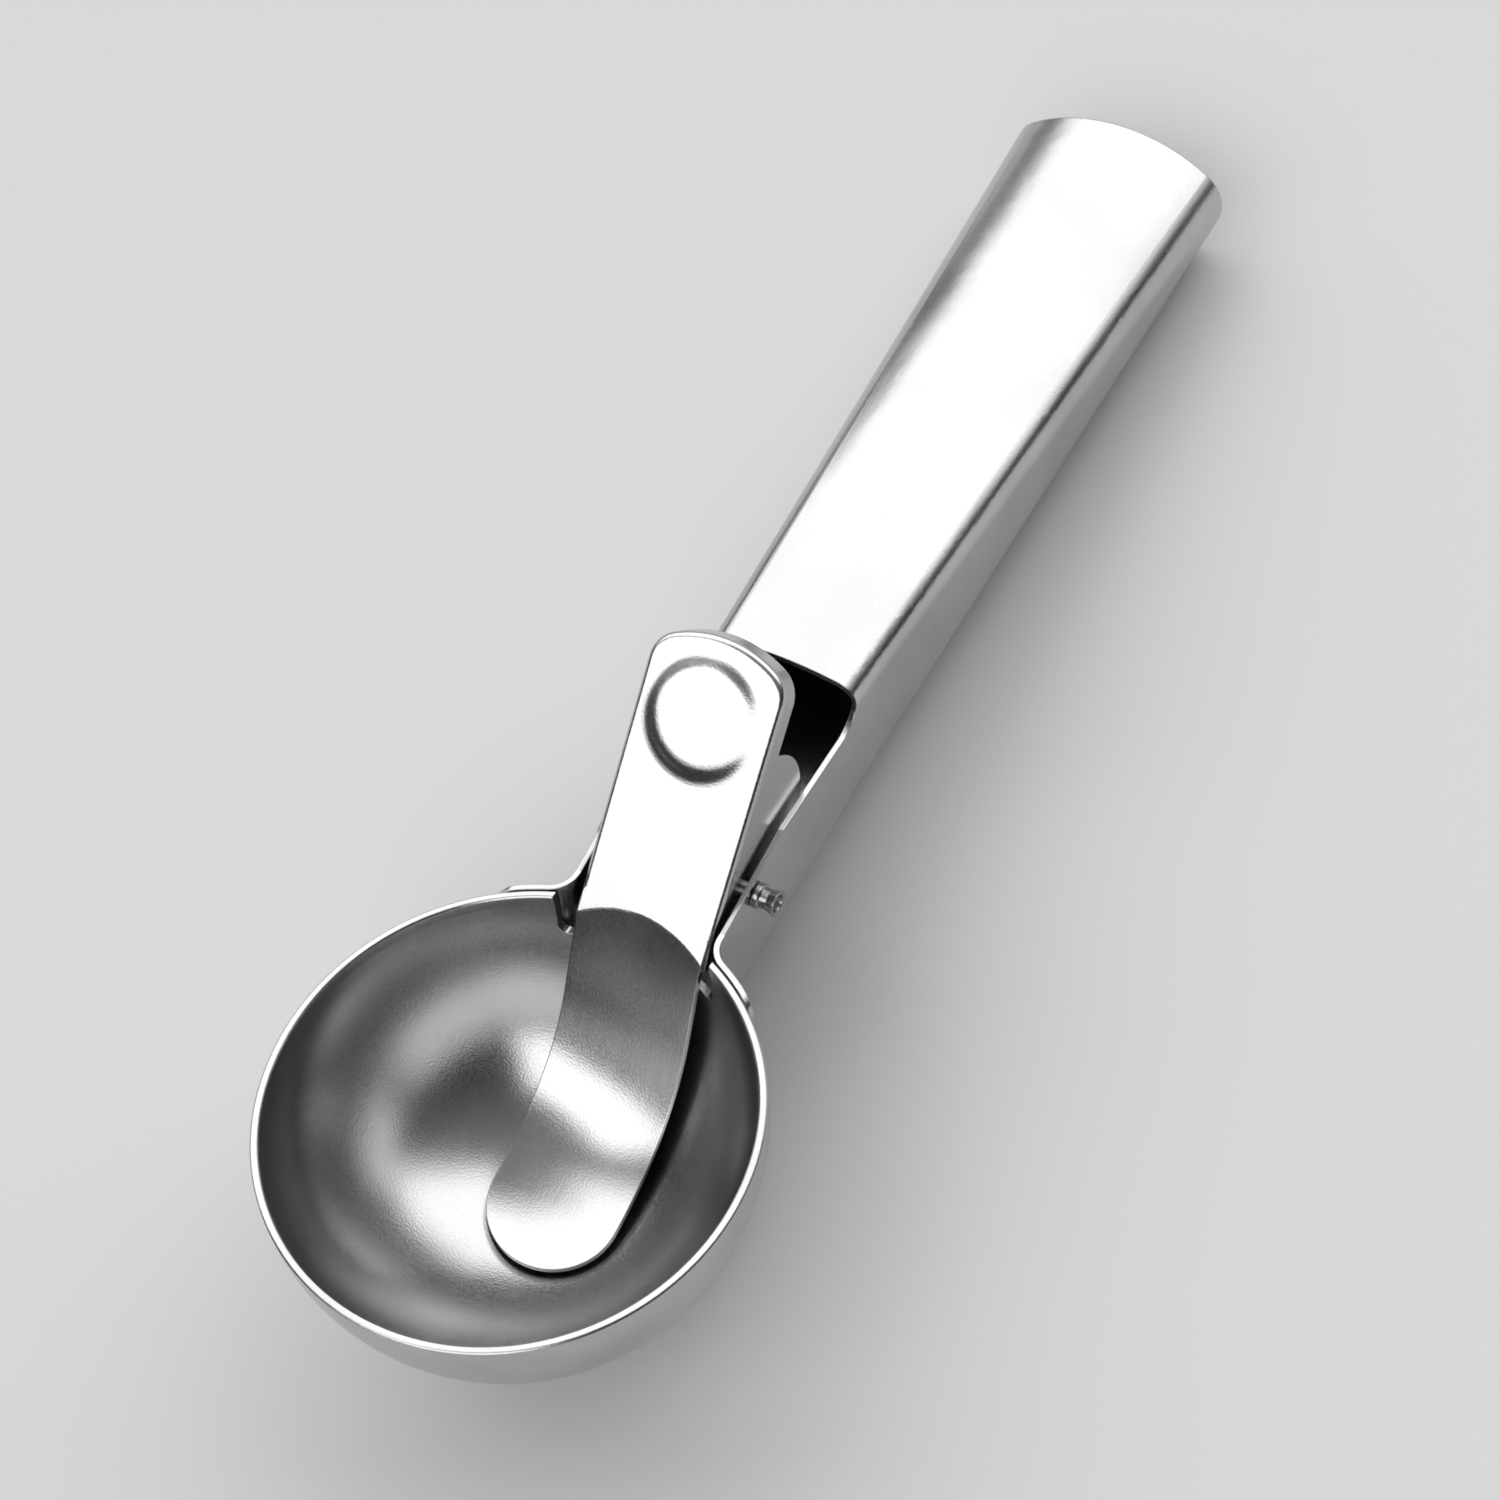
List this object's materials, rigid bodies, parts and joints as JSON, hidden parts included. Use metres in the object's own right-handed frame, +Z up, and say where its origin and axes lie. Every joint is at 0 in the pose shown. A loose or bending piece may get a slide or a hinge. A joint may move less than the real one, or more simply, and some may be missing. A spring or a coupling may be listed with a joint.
{
  "type": "ice cream scoop",
  "caption": "Pressed steel ice cream scoop with a half-ball bowl, a tapered hollow handle and a sprung thumb lever whose tongue pushes the scoop of ice cream out.",
  "frame": {"origin": "centre of the bounding box's base, on the table that the scoop stands on", "axes": "+Y along the handle away from the bowl, +Z up from the table, +X across the scoop towards the rivet's long end"},
  "size_m": [0.058, 0.184, 0.0429],
  "materials": {
    "bowl_steel": "satin spun stainless steel, polished outside",
    "handle_steel": "bright satin stainless sheet",
    "lever_steel": "bright satin stainless sheet",
    "rivet_steel": "turned stainless steel",
    "spring_steel": "drawn spring wire"
  },
  "bodies": {
    "scoop_body": {"bowl": "bowl_steel", "handle": "handle_steel", "pivot_rivet": "rivet_steel"},
    "thumb_lever": {"lever": "lever_steel", "return_spring": "spring_steel"}
  },
  "joints": [
    {"name": "lever_pivot", "type": "hinge", "parent": "scoop_body", "child": "thumb_lever", "pos_m": [0, -0.02615, 0.02237], "axis": [-1, 0, 0], "range_deg": [0, 28], "stiffness_Nm_per_rad": 0.09, "springref_deg": -51.57, "deforming": ["return_spring"]}
  ]
}
